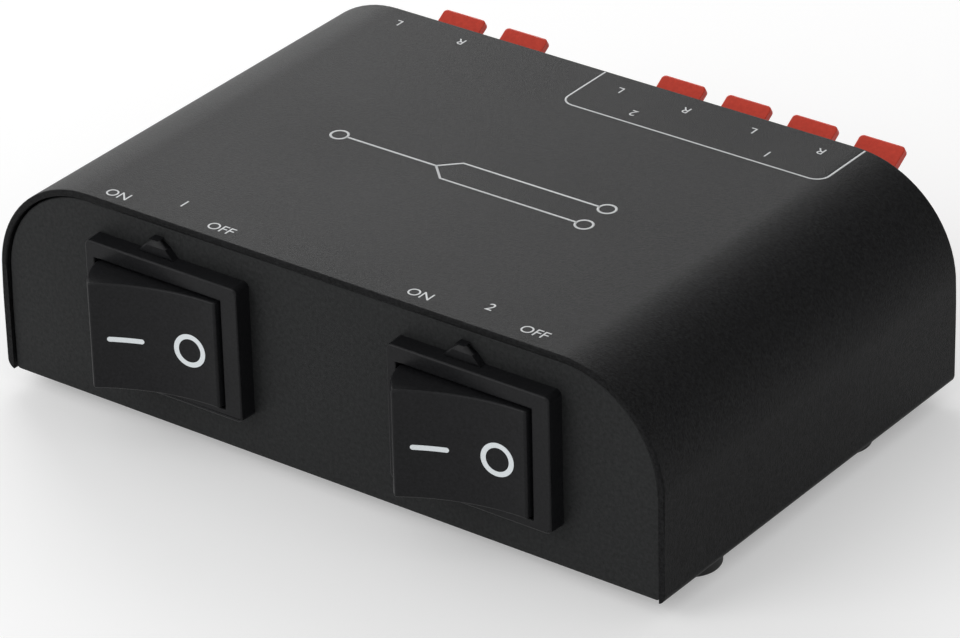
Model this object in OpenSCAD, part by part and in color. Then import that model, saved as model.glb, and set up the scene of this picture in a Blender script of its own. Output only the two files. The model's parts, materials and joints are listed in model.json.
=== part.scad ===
// Two-way loudspeaker selector: a folded steel box with two rocker switches in front and
// spring lever wire terminals at the back. Millimetres. +X is right as seen from the front,
// +Y goes to the rear, +Z is up. The origin is the centre of the box's whole footprint,
// on the surface that the feet stand on.

/* [Case] */
// Outer width of the cover
case_w = 134; // [130:1:150]
// Depth of the cover from rim to rim
case_d = 84; // [80:1:110]
// Height of the cover without the feet
case_h = 38.5; // [37:0.1:44]
// Outer radius of the two long upper edges
corner_r = 19.6; // [14:0.1:21]
// Sheet thickness of the cover
cover_t = 1.2; // [0.8:0.1:1.4]
// Outer radius of the bend along the bottom edges
bend_r = 1.8; // [1.5:0.1:2.5]
// Width of the flange folded under each side
flange_w = 14; // [13:0.5:20]
// Sheet thickness of the front and rear panels
panel_t = 1.2; // [0.8:0.1:1.5]
// How far the panels sit inside the cover's rims
panel_inset = 0.6; // [0.3:0.1:1]
// Gap all round between panel and cover
seam_gap = 0.3; // [0.15:0.05:0.5]
// Sheet thickness of the base
base_t = 1; // [0.8:0.1:1.5]

/* [Feet] */
// Height of a rubber foot
foot_h = 2.8; // [2.2:0.1:5]
// Radius of a rubber foot
foot_r = 5.3; // [4.5:0.1:6]
// From the cover's side to the middle of a front foot
foot_side = 7.1; // [6.5:0.1:8]
// From the cover's side to the middle of a rear foot
foot_rear_side = 8.1; // [6.5:0.1:8.5]
// From the front rim to the middle of a front foot
foot_front = 17; // [10:0.5:20]
// From the rear rim to the middle of a rear foot
foot_rear = 22; // [10:0.5:26]
// Radius of the screw's recess in a foot
foot_recess_r = 3.3; // [3.1:0.1:3.8]
// Depth of the screw's recess in a foot
foot_recess = 1.6; // [1.5:0.1:2]
// Bevel around a foot's underside
foot_bevel = 0.6; // [0.2:0.1:1]

/* [Screws] */
// Thread radius of every screw
screw_r = 1.45; // [1.3:0.05:1.6]
// Head radius of every screw
screw_head_r = 2.8; // [2.5:0.1:3]
// Head height of every screw
screw_head_h = 1.3; // [1:0.1:1.4]
// Height of the drawn thread collars in the base
collar_h = 2; // [1.5:0.1:3]
// Wall of the thread collars
collar_wall = 1.1; // [0.8:0.1:1.5]
// Nut width across its flats
nut_flats = 5.5; // [5.5:0.1:6.5]
// Nut thickness
nut_t = 2.4; // [2:0.1:3]

/* [Rocker switches] */
// From the middle of the case to the middle of each switch
switch_x = 30.8; // [24:0.1:36]
// Height of the rocker's middle above the case bottom
switch_z = 19; // [17.5:0.1:20]
// Width of the switch's frame
bezel_w = 31.7; // [31.4:0.1:34]
// Height of the switch's frame
bezel_h = 24.7; // [24.6:0.1:27]
// How far the frame's middle lies above the rocker's middle
bezel_lift = 0.7; // [0:0.1:0.8]
// How far the frame's middle lies to the right of the rocker's middle
bezel_shift = 0.8; // [-0.8:0.1:0.8]
// How far the frame stands proud of the front rim
bezel_proud = 2.7; // [2:0.1:4]
// How far each side of the frame draws in from panel to front
bezel_taper = 0.1; // [0.1:0.1:0.8]
// Rounding of the frame's four corners
bezel_r = 1; // [0.5:0.1:1.5]
// Width of the small pointed lug above the frame
lug_w = 7.6; // [5:0.1:9]
// Height of the lug above the frame
lug_h = 3; // [1:0.1:3.2]
// Thickness of the lug in front of the panel
lug_t = 1.4; // [0.8:0.1:2]
// Sideways place of the lug's point from the middle of the rocker
lug_shift = -1.5; // [-3:0.1:3]
// Width of the opening that the rocker sits in
opening_w = 26.2; // [26:0.1:26.5]
// Height of the opening that the rocker sits in
opening_h = 20; // [19:0.1:21]
// Width of the housing behind the panel
housing_w = 28; // [28:0.1:29]
// Height of the housing behind the panel
housing_h = 22.6; // [22.5:0.1:23.4]
// Depth of the housing behind the front rim
housing_d = 20; // [19:0.5:26]
// Thickness of the housing's rear wall
housing_back_t = 2; // [1.5:0.1:3]
// How far each snap latch stands out at its widest
latch_out = 1.3; // [0.8:0.1:2]
// Length of each snap latch
latch_len = 7; // [4:0.5:9]
// Length of the rocker's face, edge to edge
rocker_w = 22; // [20:0.1:22.5]
// Gap above and below the rocker
rocker_gap = 0.3; // [0.2:0.05:0.5]
// Distance from the pivot to the line through the rocker's edges
rocker_reach = 6.6; // [4.5:0.1:6.6]
// Depth of the hollow in the rocker's face
rocker_hollow = 1.6; // [0.8:0.1:2]
// How far the rocker's body goes behind the pivot
rocker_back = 1.4; // [1:0.1:2]
// Lean of the rocker to each side of the middle, in degrees
rocker_tilt = 16.5; // [12:0.5:17]
// The pivot's place behind the front rim, negative in front of it
pivot_y = -0.2; // [-0.4:0.1:1]
// Radius of the rocker's pivot pins
pin_r = 1.2; // [0.8:0.05:1.3]
// How far each pin goes into the frame
pin_len = 0.9; // [0.7:0.1:1]
// Radial running clearance of every pivot
pin_gap = 0.05; // [0.03:0.01:0.1]

/* [Switch contacts] */
// From the rocker's middle up and down to each pole
pole_z = 5; // [4.5:0.1:5.2]
// Outer radius of the two sleeves under the rocker
sleeve_r = 2.3; // [2.2:0.1:2.6]
// Length of the sleeves behind the pivot
sleeve_len = 8.5; // [7:0.1:9]
// Radius of a plunger
plunger_r = 1.5; // [1.3:0.05:1.6]
// Length of a plunger
plunger_len = 7; // [6:0.1:8]
// Gap between a plunger and its rocking contact at mid travel
plunger_gap = 0.4; // [0.3:0.05:0.6]
// Turns of a plunger spring
spring_turns = 4; // [3:1:6]
// Wire radius of a plunger spring
spring_wire_r = 0.2; // [0.15:0.01:0.25]
// Distance of the rocking contacts' pivot line behind the front rim
arm_y = 13.2; // [12.8:0.1:14]
// Half the length of a rocking contact
arm_half = 9; // [8:0.1:9.5]
// Height of a rocking contact
arm_h = 4.4; // [3:0.1:5]
// Strip thickness of a rocking contact
arm_t = 0.8; // [0.5:0.1:1]
// Angle by which each wing of a rocking contact is bent forward
arm_bend = 14; // [12:0.5:16]
// Lean of a rocking contact to each side of the middle, in degrees
arm_tilt = 8; // [5:0.5:9]
// Radius of the contact buttons
button_r = 1.5; // [1:0.1:2]
// Thickness of the contact buttons
button_t = 0.8; // [0.5:0.1:1]
// Air between each rocking contact and the blades it meets
contact_gap = 0.12; // [0.1:0.01:0.2]
// Width of the blades
blade_w = 6.3; // [4.8:0.1:6.5]
// Thickness of the blades
blade_t = 0.8; // [0.6:0.1:1]
// How far the blades stand out behind the housing
blade_out = 11; // [8:0.5:12]

/* [Wire terminals] */
// Middle of the input block, seen from the front
input_x = -36.9; // [-37.2:0.1:-35.6]
// Middle of the output block, seen from the front
output_x = 23.2; // [22.5:0.1:24]
// Height of both blocks' middle above the case bottom
block_z = 19.2; // [18:0.1:20]
// Spacing of the terminal columns
cell_pitch = 13.4; // [13:0.1:13.8]
// Clear width of a cell
cell_w = 9.8; // [8:0.1:10]
// Clear height of a cell
cell_h = 10.8; // [10.5:0.1:11.2]
// Wall between the upper and the lower row
row_wall = 2; // [1.6:0.1:2.4]
// Wall above the upper row and below the lower row
block_wall = 1.2; // [0.8:0.1:1.5]
// How far the blocks stand out behind the rear rim
block_proud = 7.5; // [7:0.1:9]
// How far the blocks reach into the case
block_in = 16; // [15:0.5:20]
// Thickness of the blocks' inner wall
block_back_t = 3; // [2:0.1:4]
// Thickness of the blocks' flanges
ear_t = 2.2; // [1.5:0.1:3]
// Width of the screw ear at each end of a block
ear_w = 7; // [6.4:0.1:7.2]
// How far the flange laps the panel above and below the block
ear_lap = 1; // [0.5:0.1:1.2]
// Corner radius of the flanges
ear_r = 2.5; // [1:0.1:4]
// Gap between a block and its cut-out in the panel
cut_gap = 0.2; // [0.1:0.05:0.3]

/* [Levers] */
// Gap on each side of a lever
lever_gap = 0.4; // [0.3:0.05:0.6]
// From a cell's mouth in to the lever's pivot
lever_pivot_in = 4.5; // [4:0.1:5]
// From a cell's roof down to the lever's pivot
lever_pivot_down = 2; // [1.8:0.1:2.5]
// Radius of a lever's pivot pins
lever_pin_r = 1.1; // [0.8:0.05:1.2]
// Depth of a lever's pivot holes in the cell walls
lever_pin_len = 1.2; // [0.8:0.1:1.4]
// How far a lever's face lies inside the mouth of its cell
lever_recess = 1; // [0.5:0.1:1.5]
// Thickness of a lever's face plate
lever_t = 2.2; // [1.8:0.1:2.4]
// Room under a lever's face plate
lever_foot_gap = 1; // [0.9:0.1:1.5]
// How far a lever swings when it is pressed, in degrees
lever_swing = 14; // [8:1:15]
// How far the tip of a tab stands out behind the rear rim
tab_out = 14.4; // [13:0.1:17]
// Height of a tab's tip above the middle of its block
tab_up = 13.3; // [12.4:0.1:14]
// Slope of the tabs in degrees
tab_slope = 32; // [28:1:34]
// Thickness of the tabs
tab_t = 1.6; // [1.2:0.1:1.8]
// Corner radius of the tabs
tab_r = 0.8; // [0.5:0.1:3]
// Radius of the wire holes
wire_hole_r = 1.3; // [1:0.05:1.35]
// Height of the wire holes above the middle of their block
wire_hole_up = 3.9; // [3.8:0.05:4]

/* [Terminal springs] */
// Strip width of the contact springs
strip_w = 5; // [4:0.1:6]
// Strip thickness of the contact springs
strip_t = 0.5; // [0.3:0.05:0.6]
// Height of the solder tags above the middle of their block
tag_up = 8; // [7:0.1:9]
// Length of the solder tags behind the block
tag_len = 6; // [4:0.5:8]
// Air between a pressed lever and its spring
strip_gap = 0.45; // [0.3:0.05:0.6]

/* [Wires] */
// Radius of an insulated wire
wire_r = 1; // [0.7:0.05:1.1]
// Sideways offset of two wires that share one tag
wire_pair = 1.35; // [1.3:0.05:1.5]
// Straight lead of a wire at each of its ends, and the spacing of the rows
wire_lead = 4; // [3.6:0.1:4.4]
// Height of the lowest wire lane above the case bottom
lane_z = 4.5; // [4.3:0.1:5]
// Step from one wire lane up to the next
lane_step = 4; // [3.8:0.1:4.1]

/* [Hidden] */
$fn = 48;

input_columns = 2;
output_columns = 4;
hole_clear = 0.25;             // screw holes that a screw passes through
slot_clear = 0.05;             // slots that hold blades and tags
head_gap = 0.05;               // under a screw's head
cut = 0.5;                     // how far a cutting shape runs past a face

// the case
base_z = cover_t;
base_w = case_w - 2 * bend_r - seam_gap;
panel_w = case_w - 2 * cover_t - 2 * seam_gap;
panel_top = case_h - cover_t - seam_gap;
panel_drop = 0.2;              // from the case bottom up to the panels' lower edges
panel_corner_r = corner_r - cover_t - seam_gap;
panel_foot_r = 0.6;            // rounding of the panels' lower corners
flange_notch = panel_inset + panel_t + 0.5;
front_panel_back = panel_inset + panel_t;
rear_panel_face = case_d - panel_inset;
foot_rows = [[foot_side, foot_front], [foot_rear_side, case_d - foot_rear]];
foot_places = [for (x = [-1, 1], row = foot_rows) [x * (case_w / 2 - row[0]), row[1]]];

// the rockers
rocker_half = rocker_w / 2;
rocker_edge_r = norm([rocker_half, rocker_reach]);
rocker_face_r = (rocker_half * rocker_half + rocker_hollow * rocker_hollow) / (2 * rocker_hollow);
rocker_h = opening_h - 2 * rocker_gap;
plunger_tip = arm_y - arm_t - plunger_gap - pivot_y;
throw_x = arm_half - button_r;

// the terminals
cell_low = row_wall / 2;
cell_top = cell_low + cell_h;
block_half = cell_top + block_wall;
lever_w = cell_w - 2 * lever_gap;
lever_face = block_proud - lever_recess;
lever_foot = cell_low + lever_foot_gap;
lever_pivot = [block_proud - lever_pivot_in, cell_top - lever_pivot_down];
lever_lug_r = lever_pivot_down - 0.3;
tab_top_at_face = tab_up - (tab_out - lever_face) * tan(tab_slope);
tab_root = lever_face - lever_t / 2;
tab_len = (tab_out - tab_root) / cos(tab_slope);
screw_in = ear_w / 2;

// where the case stands: the rocker's proud edge is the frontmost point, a tab's tip the rearmost
front_reach = rocker_half * sin(rocker_tilt) + rocker_reach * cos(rocker_tilt) - pivot_y;
rear_reach = case_d + tab_out + tab_t * sin(tab_slope);
front_y = -(rear_reach - front_reach) / 2;

cover_colour = "#303133";
panel_colour = "#26272a";
switch_colour = "#1c1d20";
red_plastic = "#c8412f";
black_plastic = "#202124";
rubber_colour = "#151515";
steel_colour = "#9a9da1";
brass_colour = "#c9a558";

// ---------- helpers ----------

// children stand in the case's own frame: y = 0 at the front rim, z = 0 at the case bottom
module in_case() {
  translate([0, front_y, foot_h]) children();
}

module along_y(y0, y1) {
  translate([0, y1, 0]) rotate([90, 0, 0]) linear_extrude(y1 - y0) children();
}

// the outline's x becomes y and its y becomes z
module along_x(x0, x1) {
  translate([x0, 0, 0]) rotate([90, 0, 90]) linear_extrude(x1 - x0) children();
}

// an upright outline with large upper and small lower corners
module arch(w, h, upper_r, lower_r) {
  for (side = [-1, 1]) {
    translate([side * (w / 2 - upper_r), h - upper_r]) intersection() {
      circle(upper_r, $fn = 96);
      translate([-upper_r, 0]) square([2 * upper_r, upper_r]);
    }
    translate([side * (w / 2 - lower_r), lower_r]) circle(lower_r);
  }
  translate([upper_r - w / 2, 0]) square([w - 2 * upper_r, h]);
  translate([lower_r - w / 2, 0]) square([w - 2 * lower_r, h - upper_r]);
  translate([-w / 2, lower_r]) square([w, h - upper_r - lower_r]);
}

module rounded_rect(w, h, r) {
  for (x = [-1, 1], y = [-1, 1]) translate([x * (w / 2 - r), y * (h / 2 - r)]) circle(r);
  square([w, h - 2 * r], center = true);
  square([w - 2 * r, h], center = true);
}

// a bar of thickness t from p to q with round ends
module bar(p, q, t) {
  d = q - p;
  translate(p) rotate(atan2(d[1], d[0])) translate([0, -t / 2]) square([norm(d), t]);
  translate(p) circle(t / 2, $fn = 16);
  translate(q) circle(t / 2, $fn = 16);
}

// a point turned about a pivot, anticlockwise
function turned(p, pivot, a) = let (d = p - pivot)
  pivot + [d[0] * cos(a) - d[1] * sin(a), d[0] * sin(a) + d[1] * cos(a)];

// a cross-recessed pan-head screw, head under z = 0 and thread above it
module pan_screw(length) {
  difference() {
    union() {
      translate([0, 0, -screw_head_h]) cylinder(r = screw_head_r, h = screw_head_h);
      cylinder(r = screw_r, h = length);
    }
    for (a = [0, 90]) rotate(a) translate([-screw_head_r * 0.6, -0.3, -screw_head_h - cut])
      cube([screw_head_r * 1.2, 0.6, cut + screw_head_h * 0.5]);
  }
}

// points along a route whose corners are rounded from the middle of one stretch to the middle of
// the next, so that its first and last half stretches stay straight
function rounded_corner(a, b, c, t) =
  (1 - t) * (1 - t) * (a + b) / 2 + 2 * t * (1 - t) * b + t * t * (b + c) / 2;
function smooth(route, steps) = let (n = len(route)) [
  route[0],
  for (i = [1:n - 2], s = [0:steps - 1]) rounded_corner(route[i - 1], route[i], route[i + 1], s / steps),
  (route[n - 2] + route[n - 1]) / 2,
  route[n - 1]];

// a closed tube swept along a list of points
module tube(points, r, sides) {
  n = len(points);
  ahead = [for (i = [0:n - 1])
    let (d = points[min(i + 1, n - 1)] - points[max(i - 1, 0)]) d / norm(d)];
  rings = [for (i = [0:n - 1])
    let (u0 = cross(ahead[i], [0.32, -0.2, 0.93]), u = u0 / norm(u0), v = cross(ahead[i], u))
    for (k = [0:sides - 1]) points[i] + r * (cos(360 * k / sides) * u + sin(360 * k / sides) * v)];
  skin = [for (i = [0:n - 2], k = [0:sides - 1])
    let (a = i * sides + k, b = i * sides + (k + 1) % sides)
    each [[a, b + sides, b], [a, a + sides, b + sides]]];
  first_cap = [for (k = [1:sides - 2]) [0, k, k + 1]];
  last = (n - 1) * sides;
  last_cap = [for (k = [1:sides - 2]) [last, last + k + 1, last + k]];
  polyhedron(rings, concat(skin, first_cap, last_cap));
}

// ---------- case ----------

module foot_screw_holes(r, z0, z1) {
  for (p = foot_places) translate([p[0], p[1], z0]) cylinder(r = r, h = z1 - z0);
}

module top_cover() color(cover_colour) in_case() difference() {
  along_y(0, case_d) arch(case_w, case_h, corner_r, bend_r);
  along_y(-cut, case_d + cut)
    translate([0, cover_t])
      arch(case_w - 2 * cover_t, case_h - 2 * cover_t, corner_r - cover_t, bend_r - cover_t);
  translate([flange_w - case_w / 2, -cut, -cut])
    cube([case_w - 2 * flange_w, case_d + 2 * cut, cut + 2 * cover_t]);
  for (y = [-cut, case_d - flange_notch])
    translate([cover_t - case_w / 2, y, -cut])
      cube([case_w - 2 * cover_t, flange_notch + cut, cut + 2 * cover_t]);
  foot_screw_holes(screw_r + hole_clear, -cut, cover_t + cut);
}

module panel_outline() {
  translate([0, panel_drop]) arch(panel_w, panel_top - panel_drop, panel_corner_r, panel_foot_r);
}

module chassis() color(panel_colour) in_case() difference() {
  union() {
    along_y(panel_inset, front_panel_back) panel_outline();
    along_y(rear_panel_face - panel_t, rear_panel_face) panel_outline();
    translate([-base_w / 2, panel_inset, base_z]) cube([base_w, case_d - 2 * panel_inset, base_t]);
    for (p = foot_places) translate([p[0], p[1], base_z])
      cylinder(r = screw_r + pin_gap + collar_wall, h = base_t + collar_h);
  }
  for (s = [-1, 1]) translate([s * switch_x, front_panel_back, switch_z])
    cube([housing_w + 2 * cut_gap, 4 * panel_t, housing_h + 2 * cut_gap], center = true);
  block_cut_out(input_x, input_columns);
  block_cut_out(output_x, output_columns);
  foot_screw_holes(screw_r + pin_gap, base_z - cut, base_z + base_t + collar_h + cut);
}

module block_cut_out(x, columns) {
  translate([x, rear_panel_face, block_z])
    cube([columns * cell_pitch + 2 * cut_gap, 4 * panel_t, 2 * block_half + 2 * cut_gap], center = true);
  for (s = [-1, 1]) translate([x + s * (columns * cell_pitch / 2 + screw_in), rear_panel_face, block_z])
    rotate([90, 0, 0]) cylinder(r = screw_r + hole_clear, h = 4 * panel_t, center = true);
}

module foot() difference() {
  union() {
    cylinder(r1 = foot_r - foot_bevel, r2 = foot_r, h = foot_bevel);
    translate([0, 0, foot_bevel]) cylinder(r = foot_r, h = foot_h - foot_bevel);
  }
  translate([0, 0, -cut]) cylinder(r = foot_recess_r, h = cut + foot_recess);
  cylinder(r = screw_r + hole_clear, h = foot_h + cut);
}

module feet() color(rubber_colour) in_case() for (p = foot_places) translate([p[0], p[1], -foot_h]) foot();

module foot_screws() color(steel_colour) in_case() for (p = foot_places)
  translate([p[0], p[1], foot_recess - foot_h - head_gap])
    pan_screw(foot_h - foot_recess + head_gap + base_z + base_t + collar_h);

// ---------- rocker switches ----------
// a switch's own frame: x = 0 and z = 0 at the rocker's middle, y = 0 at the front rim

module at_switch(side) in_case() translate([side * switch_x, 0, switch_z]) children();

module frame_face(w, h, y) {
  translate([bezel_shift, y, bezel_lift]) rotate([90, 0, 0]) linear_extrude(0.2)
    rounded_rect(w, h, bezel_r, $fn = 32);
}

// the pointed lug that the housing shows above its frame
module frame_lug() {
  base = bezel_lift + bezel_h / 2 - bezel_taper;
  along_y(panel_inset - lug_t, panel_inset) translate([lug_shift, base]) polygon([
    [-lug_w / 2, 0], [lug_w / 2, 0], [lug_w / 10, bezel_taper + lug_h], [-lug_w / 10, bezel_taper + lug_h]]);
}

module latch() {
  y0 = front_panel_back + slot_clear;
  linear_extrude(opening_h / 2, center = true)
    polygon([[housing_w / 2 - cut, y0], [housing_w / 2 + latch_out, y0], [housing_w / 2, y0 + latch_len],
      [housing_w / 2 - cut, y0 + latch_len]]);
}

module switch_frame(side) color(switch_colour) at_switch(side) difference() {
  union() {
    hull() {
      frame_face(bezel_w, bezel_h, panel_inset);
      frame_face(bezel_w - 2 * bezel_taper, bezel_h - 2 * bezel_taper, 0.2 - bezel_proud);
    }
    translate([-housing_w / 2, -bezel_proud / 2, -housing_h / 2])
      cube([housing_w, housing_d + bezel_proud / 2, housing_h]);
    frame_lug();
    latch();
    mirror([1, 0, 0]) latch();
  }
  translate([-opening_w / 2, -bezel_proud - cut, -opening_h / 2])
    cube([opening_w, housing_d - housing_back_t + bezel_proud + cut, opening_h]);
  translate([0, pivot_y, -opening_h / 2 - pin_len - 2 * slot_clear])
    cylinder(r = pin_r + pin_gap, h = opening_h + 2 * pin_len + 4 * slot_clear);
  for (z = [-pole_z, pole_z], x = [0, throw_x]) translate([x, housing_d, z])
    cube([blade_t + 2 * slot_clear, 4 * housing_back_t, blade_w + 2 * slot_clear], center = true);
}

// the rocker and its plungers stand turned by the same lean
module leaned(side) at_switch(side) translate([0, pivot_y, 0]) rotate(rocker_tilt) children();

module rocker(side) color(switch_colour) leaned(side) difference() {
  union() {
    intersection() {
      cylinder(r = rocker_edge_r, h = rocker_h, center = true, $fn = 96);
      translate([-rocker_edge_r, -rocker_edge_r, -rocker_h / 2])
        cube([2 * rocker_edge_r, rocker_edge_r + rocker_back, rocker_h]);
    }
    cylinder(r = pin_r, h = opening_h + 2 * pin_len, center = true);
    for (z = [-pole_z, pole_z]) translate([0, 0, z]) rotate([-90, 0, 0]) cylinder(r = sleeve_r, h = sleeve_len);
  }
  translate([0, rocker_hollow - rocker_reach - rocker_face_r, 0])
    cylinder(r = rocker_face_r, h = opening_h, center = true, $fn = 192);
  for (z = [-pole_z, pole_z]) translate([0, rocker_back, z]) rotate([-90, 0, 0])
    cylinder(r = plunger_r + pin_gap, h = sleeve_len + cut);
}

module plungers(side) color("#d8d8d0") leaned(side) for (z = [-pole_z, pole_z])
  translate([0, 0, z]) rotate([-90, 0, 0]) {
    translate([0, 0, plunger_tip - plunger_len]) cylinder(r = plunger_r, h = plunger_len - plunger_r);
    translate([0, 0, plunger_tip - plunger_r]) sphere(plunger_r);
  }

module plunger_springs(side) color(steel_colour) leaned(side) for (z = [-pole_z, pole_z]) translate([0, 0, z]) {
  low = rocker_back + spring_wire_r + slot_clear;
  high = plunger_tip - plunger_len - spring_wire_r - slot_clear;
  coil_r = plunger_r - spring_wire_r - slot_clear;
  per_turn = 12;
  steps = spring_turns * per_turn;
  tube([for (i = [0:steps]) let (a = 360 * i / per_turn)
    [coil_r * cos(a), low + (high - low) * i / steps, coil_r * sin(a)]], spring_wire_r, 5);
}

// one wing of the rocking contact, bent forward about the pivot line at the rear face
module arm_wing() {
  rotate(-arm_bend) translate([-0.2, -arm_t, -arm_h / 2]) cube([arm_half + 0.2, arm_t, arm_h]);
}

module rocking_contacts(side) color(brass_colour) at_switch(side) translate([0, arm_y, 0]) rotate(-arm_tilt)
  for (z = [-pole_z, pole_z]) translate([0, 0, z]) {
    arm_wing();
    mirror([1, 0, 0]) arm_wing();
    rotate(-arm_bend) translate([throw_x, -cut * arm_t, 0]) rotate([-90, 0, 0])
      cylinder(r = button_r, h = button_t + cut * arm_t);
  }

// where the contact button's face stands when the switch is closed
closed_button = turned([throw_x, button_t], [0, 0], arm_tilt - arm_bend);

module blades(side) color(brass_colour) at_switch(side) for (z = [-pole_z, pole_z]) translate([0, 0, z]) {
  tail = housing_d + blade_out;
  pad_y = arm_y + closed_button[1] + contact_gap + button_r * sin(arm_bend - arm_tilt);
  common_y = arm_y + contact_gap;
  translate([-blade_t / 2, common_y, -blade_w / 2]) cube([blade_t, tail - common_y, blade_w]);
  translate([throw_x - blade_t / 2, pad_y, -blade_w / 2]) cube([blade_t, tail - pad_y, blade_w]);
  translate([throw_x, pad_y, 0]) rotate([-90, 0, 0]) cylinder(r = button_r, h = button_t);
}

// ---------- terminal blocks ----------
// a block's own frame: x = 0 and z = 0 at its middle, y = 0 at the rear rim

module at_block(x) in_case() translate([x, case_d, block_z]) children();

function column_x(i, columns) = (i - (columns - 1) / 2) * cell_pitch;

// children are drawn in each column, upright and mirrored for the lower row
module each_cell(columns) {
  for (i = [0:columns - 1]) translate([column_x(i, columns), 0, 0]) {
    children();
    mirror([0, 0, 1]) children();
  }
}

module cell_hollow() {
  translate([-cell_w / 2, block_back_t - block_in, cell_low])
    cube([cell_w, block_in - block_back_t + block_proud + cut, cell_h]);
  translate([0, lever_pivot[0], lever_pivot[1]]) rotate([0, 90, 0])
    cylinder(r = lever_pin_r + pin_gap, h = cell_w + 2 * lever_pin_len, center = true);
  translate([-strip_w / 2 - slot_clear, -block_in - cut, tag_up - strip_t / 2 - slot_clear])
    cube([strip_w + 2 * slot_clear, block_back_t + 2 * cut, strip_t + 2 * slot_clear]);
}

module terminal_block(x, columns) color(black_plastic) at_block(x) difference() {
  width = columns * cell_pitch;
  union() {
    translate([-width / 2, -block_in, -block_half]) cube([width, block_in + block_proud, 2 * block_half]);
    along_y(-panel_inset, ear_t - panel_inset)
      rounded_rect(width + 2 * ear_w, 2 * (block_half + ear_lap), ear_r);
  }
  each_cell(columns) cell_hollow();
  for (s = [-1, 1]) translate([s * (width / 2 + screw_in), 0, 0]) rotate([90, 0, 0])
    cylinder(r = screw_r + hole_clear, h = 4 * ear_t, center = true);
}

// the bent strip of one cell: solder tag, riser, floor bar that the wire lies on, and the
// leaf that stands behind the lever, with a window for the wire
module contact_strip() {
  back = block_back_t - block_in + strip_t / 2;
  low = cell_low + strip_t / 2 + slot_clear;
  high = cell_top - strip_t / 2 - 4 * slot_clear;
  leaf_gap = [strip_gap + strip_t / 2, 0];
  lever_back = lever_face - lever_t;
  leaf_top = turned([lever_back, wire_hole_up + 2 * wire_hole_r + 0.3], lever_pivot, -lever_swing) - leaf_gap;
  leaf_end = turned([lever_back, lever_foot + strip_t], lever_pivot, -lever_swing) - leaf_gap;
  color(brass_colour) difference() {
    along_x(-strip_w / 2, strip_w / 2) {
      bar([-block_in - tag_len, tag_up], [back, tag_up], strip_t);
      bar([back, low], [back, high], strip_t);
      bar([back, low], [-cell_low, low], strip_t);
      bar([back, high], [-block_in / 2, high], strip_t);
      bar([-block_in / 2, high], leaf_top, strip_t);
      bar(leaf_top, leaf_end, strip_t);
    }
    translate([0, leaf_end[0], wire_hole_up - 0.2]) rotate([90, 0, 0])
      cylinder(r = wire_hole_r, h = 4, center = true);
  }
}

module contacts(x, columns) at_block(x) each_cell(columns) contact_strip();

module lever_shape() {
  x0 = -lever_w / 2;
  difference() {
    union() {
      along_x(x0, -x0) {
        polygon([[lever_face, lever_foot], [lever_face, tab_top_at_face], lever_pivot + [0, lever_lug_r],
          lever_pivot - [lever_lug_r, 0], [lever_face - lever_t, lever_pivot[1] - lever_lug_r - 0.4],
          [lever_face - lever_t, lever_foot]]);
        translate(lever_pivot) circle(lever_lug_r);
      }
      translate([0, tab_out, tab_up]) rotate([tab_slope, 0, 0]) translate([0, 0, -tab_t])
        linear_extrude(tab_t) {
          translate([x0, -tab_len]) square([lever_w, tab_len - tab_r]);
          translate([x0 + tab_r, -2 * tab_r]) square([lever_w - 2 * tab_r, 2 * tab_r]);
          for (s = [-1, 1]) translate([s * (lever_w / 2 - tab_r), -tab_r]) circle(tab_r);
        }
      translate([0, lever_pivot[0], lever_pivot[1]]) rotate([0, 90, 0])
        cylinder(r = lever_pin_r, h = cell_w + 2 * lever_pin_len - 4 * slot_clear, center = true);
    }
    translate([0, lever_face - lever_t / 2, wire_hole_up]) rotate([90, 0, 0])
      cylinder(r = wire_hole_r, h = lever_t + 2 * cut, center = true);
  }
}

// column 0 is the leftmost seen from the front; row 1 is the upper, red row
module lever(x, columns, column, row) color(row > 0 ? red_plastic : black_plastic)
  at_block(x) translate([column_x(column, columns), 0, 0])
    mirror([0, 0, row > 0 ? 0 : 1]) lever_shape();

module at_ear_screws() {
  for (b = [[input_x, input_columns], [output_x, output_columns]], s = [-1, 1])
    at_block(b[0] + s * (b[1] * cell_pitch / 2 + screw_in)) children();
}

module terminal_screws() color(steel_colour) at_ear_screws()
  translate([0, ear_t - panel_inset + head_gap, 0]) rotate([90, 0, 0])
    pan_screw(ear_t + panel_t + nut_t + 3 * head_gap + 0.6);

module terminal_nuts() color(steel_colour) at_ear_screws()
  translate([0, -panel_inset - panel_t - head_gap, 0]) rotate([90, 0, 0]) difference() {
    cylinder(r = nut_flats / 2 / cos(30), h = nut_t, $fn = 6);
    translate([0, 0, -cut]) cylinder(r = screw_r + pin_gap, h = nut_t + 2 * cut, $fn = 32);
  }

// ---------- wires ----------
// each runs from a blade or tag to another, crossing between the switches and the terminals

blade_end = housing_d + blade_out;
tag_end = case_d - block_in - tag_len - strip_t / 2;
function common(side, pole, spot) = [side * switch_x, blade_end, switch_z + pole * pole_z + spot * wire_pair];
function throw(side, pole) = [side * switch_x + throw_x, blade_end, switch_z + pole * pole_z];
function tag(x, columns, column, row, spot) =
  [x + column_x(column, columns) + spot * wire_pair, tag_end, block_z + row * tag_up];
function in_tag(column, row, spot = 0) = tag(input_x, input_columns, column, row, spot);
function out_tag(column, row, spot = 0) = tag(output_x, output_columns, column, row, spot);

// rows across the case, counted in wire leads from the blades and from the tags
function past_blades(leads) = blade_end + leads * wire_lead;
function before_tags(leads) = tag_end - leads * wire_lead;

// a wire from a to b, which leaves a towards the rear (1) or the front (-1) and comes to b from the
// front. Each turn holds its share of the way across from a to b, its row and its lane.
module wire(a, way, turns, b, b_way = -1) {
  middle = [for (t = turns) [a[0] + t[0] * (b[0] - a[0]), t[1], lane_z + t[2] * lane_step]];
  route = concat([a, a + [0, way * wire_lead, 0]], middle, [b + [0, b_way * wire_lead, 0], b]);
  tube(smooth(route, 4), wire_r, 8);
}

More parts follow.
